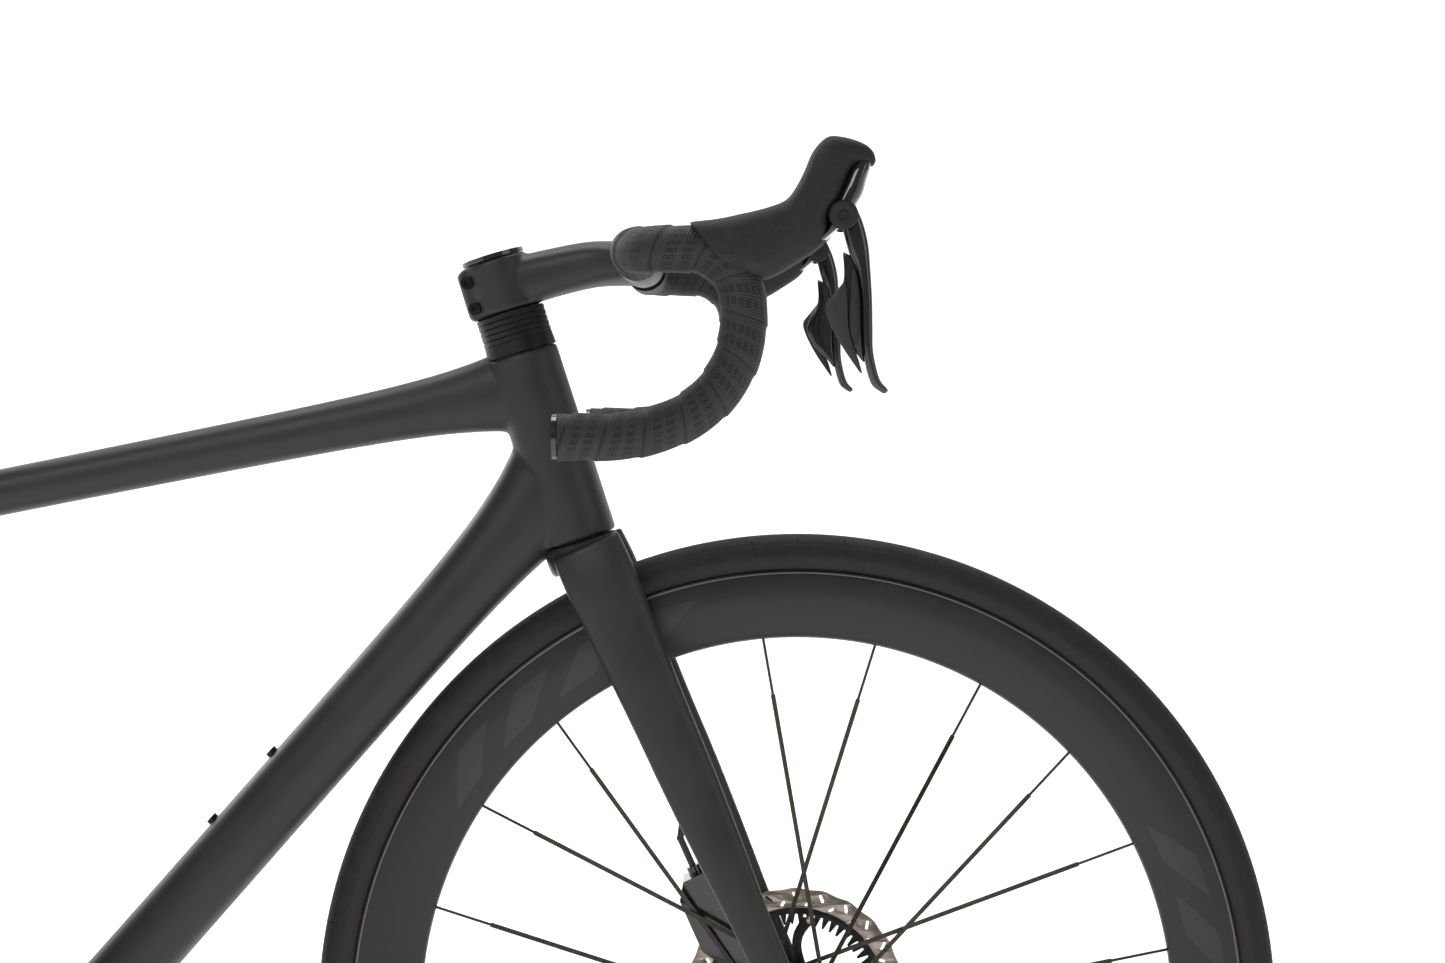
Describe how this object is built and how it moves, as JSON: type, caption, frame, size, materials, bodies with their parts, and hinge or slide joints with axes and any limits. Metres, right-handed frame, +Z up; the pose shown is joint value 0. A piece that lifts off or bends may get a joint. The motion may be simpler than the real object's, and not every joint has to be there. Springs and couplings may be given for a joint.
{
  "type": "road bicycle",
  "caption": "Road racing bicycle with carbon-style frame, one-piece drop-bar cockpit, disc brakes, deep rims, two-ring electronic drivetrain and saddle, ready for pedals",
  "frame": {"origin": "on the ground, midway between the wheel axles, in the middle plane", "axes": "+X forwards, +Y to the rider's left, +Z up"},
  "size_m": [1.6586, 0.458, 0.9423],
  "materials": {
    "carbon": "matte dark grey clear-coated carbon",
    "satin_black": "satin black anodised",
    "bearing_steel": "ground steel",
    "cup_black": "black anodised",
    "rail_steel": "satin steel tube",
    "saddle_plastic": "fine-grained black shell",
    "saddle_leather": "matte black cover",
    "bolt_black": "black oxide",
    "hanger_alloy": "dark anodised",
    "gloss_alloy": "gloss black",
    "pad_metal": "backing plate with resin block",
    "gloss_plastic": "gloss black",
    "button_plastic": "ribbed matte black",
    "plug_plastic": "gloss black cap",
    "hood_rubber": "matte silicone rubber",
    "tape": "wound, ribbed and perforated",
    "hose_rubber": "smooth black",
    "chain_steel": "plated steel",
    "ring_alloy": "black anodised",
    "cage_steel": "satin black",
    "pulley_plastic": "moulded black",
    "tyre": "black tread, brown-black sidewall",
    "rim_carbon": "satin black carbon",
    "spoke_steel": "dark bronze",
    "rotor_steel": "bronze-tinted steel"
  },
  "bodies": {
    "frame": {"front_triangle": "carbon", "chainstays": "carbon", "seatstays": "carbon", "headset_bearings": "bearing_steel", "bottom_bracket_cups": "cup_black", "seatpost": "carbon", "seatpost_clamp": "satin_black", "saddle_clamp": "satin_black", "saddle_rails": "rail_steel", "saddle_shell": "saddle_plastic", "saddle_cover": "saddle_leather", "bottle_bolts": "bolt_black", "derailleur_hanger": "hanger_alloy", "rear_axle": "satin_black", "rear_caliper": "gloss_alloy", "rear_brake_pads": "pad_metal", "front_derailleur_body": "gloss_alloy", "chain": "chain_steel", "derailleur_body": "gloss_alloy"},
    "steering": {"fork": "carbon", "headset_cover": "satin_black", "headset_spacers": "satin_black", "cockpit": "carbon", "stem_cap": "gloss_plastic", "stem_bolts": "bolt_black", "bar_tape": "tape", "bar_end_plugs": "plug_plastic", "lever_hoods": "hood_rubber", "lever_brackets": "gloss_plastic", "lever_pins": "bolt_black", "front_axle": "satin_black", "front_caliper": "gloss_alloy", "front_brake_pads": "pad_metal", "front_brake_hose": "hose_rubber"},
    "right_lever": {"right_brake_lever": "gloss_plastic"},
    "left_lever": {"left_brake_lever": "gloss_plastic"},
    "right_front_shift": {"right_front_button": "button_plastic"},
    "right_rear_shift": {"right_rear_button": "button_plastic"},
    "left_front_shift": {"left_front_button": "button_plastic"},
    "left_rear_shift": {"left_rear_button": "button_plastic"},
    "front_wheel": {"front_tyre": "tyre", "front_rim": "rim_carbon", "front_spokes": "spoke_steel", "front_hub": "satin_black", "front_rotor": "rotor_steel"},
    "rear_wheel": {"rear_tyre": "tyre", "rear_rim": "rim_carbon", "rear_spokes": "spoke_steel", "rear_hub": "satin_black", "rear_rotor": "rotor_steel"},
    "sprockets": {"cassette": "chain_steel"},
    "cranks": {"crankset": "gloss_alloy", "left_crank": "gloss_alloy", "chainrings": "ring_alloy"},
    "link": {"derailleur_link": "gloss_alloy"},
    "knuckle": {"derailleur_knuckle": "gloss_alloy"},
    "cage": {"derailleur_cage": "cage_steel"},
    "upper_pulley": {"guide_pulley": "pulley_plastic"},
    "lower_pulley": {"tension_pulley": "pulley_plastic"},
    "front_shifter": {"front_derailleur_cage": "cage_steel"}
  },
  "joints": [
    {"name": "steering_turn", "type": "hinge", "parent": "frame", "child": "steering", "pos_m": [0.31343, 0, 0.74469], "axis": [-0.2924, 0, 0.9563], "range_deg": [-70, 70]},
    {"name": "right_brake_pull", "type": "hinge", "parent": "steering", "child": "right_lever", "pos_m": [0.50953, -0.21, 0.89329], "axis": [0, 1, 0], "range_deg": [0, 20], "stiffness_Nm_per_rad": 1.5, "springref_deg": -11.46},
    {"name": "right_front_button_press", "type": "hinge", "parent": "right_lever", "child": "right_front_shift", "pos_m": [0.52093, -0.2142, 0.82299], "axis": [0.0995, 0, -0.995], "range_deg": [0, 5], "stiffness_Nm_per_rad": 0.4, "springref_deg": -2.86},
    {"name": "right_rear_button_press", "type": "hinge", "parent": "right_lever", "child": "right_rear_shift", "pos_m": [0.51323, -0.2142, 0.82279], "axis": [0.0672, 0, -0.9977], "range_deg": [0, 5], "stiffness_Nm_per_rad": 0.4, "springref_deg": -2.86},
    {"name": "left_brake_pull", "type": "hinge", "parent": "steering", "child": "left_lever", "pos_m": [0.50953, 0.21, 0.89329], "axis": [0, 1, 0], "range_deg": [0, 20], "stiffness_Nm_per_rad": 1.5, "springref_deg": -11.46},
    {"name": "left_front_button_press", "type": "hinge", "parent": "left_lever", "child": "left_front_shift", "pos_m": [0.52093, 0.2142, 0.82299], "axis": [-0.0995, 0, 0.995], "range_deg": [0, 5], "stiffness_Nm_per_rad": 0.4, "springref_deg": -2.86},
    {"name": "left_rear_button_press", "type": "hinge", "parent": "left_lever", "child": "left_rear_shift", "pos_m": [0.51323, 0.2142, 0.82279], "axis": [-0.0672, 0, 0.9977], "range_deg": [0, 5], "stiffness_Nm_per_rad": 0.4, "springref_deg": -2.86},
    {"name": "front_wheel_spin", "type": "hinge", "parent": "steering", "child": "front_wheel", "pos_m": [0.488, 0, 0.3413], "axis": [0, 1, 0], "continuous": true},
    {"name": "rear_wheel_spin", "type": "hinge", "parent": "frame", "child": "rear_wheel", "pos_m": [-0.488, 0, 0.3413], "axis": [0, 1, 0], "continuous": true},
    {"name": "pedalling", "type": "hinge", "parent": "frame", "child": "cranks", "pos_m": [-0.082, 0, 0.2703], "axis": [0, 1, 0], "continuous": true},
    {"name": "sprocket_spin", "type": "hinge", "parent": "frame", "child": "sprockets", "pos_m": [-0.488, 0, 0.3413], "axis": [0, 1, 0], "continuous": true},
    {"name": "link_swing", "type": "hinge", "parent": "frame", "child": "link", "pos_m": [-0.53731, -0.08241, 0.2533], "axis": [0, 0, 1], "range_deg": [-23, 39]},
    {"name": "knuckle_level", "type": "hinge", "parent": "link", "child": "knuckle", "pos_m": [-0.497, -0.0624, 0.2533], "axis": [0, 0, 1], "range_deg": [-39, 23]},
    {"name": "cage_swing", "type": "hinge", "parent": "knuckle", "child": "cage", "pos_m": [-0.476, -0.0474, 0.2513], "axis": [0, 1, 0], "range_deg": [-20, 45], "stiffness_Nm_per_rad": 0.4, "springref_deg": 34.38, "deforming": ["chain"]},
    {"name": "guide_pulley_spin", "type": "hinge", "parent": "cage", "child": "upper_pulley", "pos_m": [-0.476, -0.0474, 0.2513], "axis": [0, 1, 0], "continuous": true},
    {"name": "tension_pulley_spin", "type": "hinge", "parent": "cage", "child": "lower_pulley", "pos_m": [-0.446, -0.0474, 0.1993], "axis": [0, 1, 0], "continuous": true},
    {"name": "front_shift_swing", "type": "hinge", "parent": "frame", "child": "front_shifter", "pos_m": [-0.118, -0.03, 0.4073], "axis": [1, 0, 0], "range_deg": [0, 6]}
  ],
  "couplings": [
    {"joint": "sprocket_spin", "follows": "pedalling", "ratio": 3.25},
    {"joint": "guide_pulley_spin", "follows": "pedalling", "ratio": -4.7273},
    {"joint": "tension_pulley_spin", "follows": "pedalling", "ratio": 4.7273},
    {"joint": "knuckle_level", "follows": "link_swing", "ratio": -1}
  ]
}
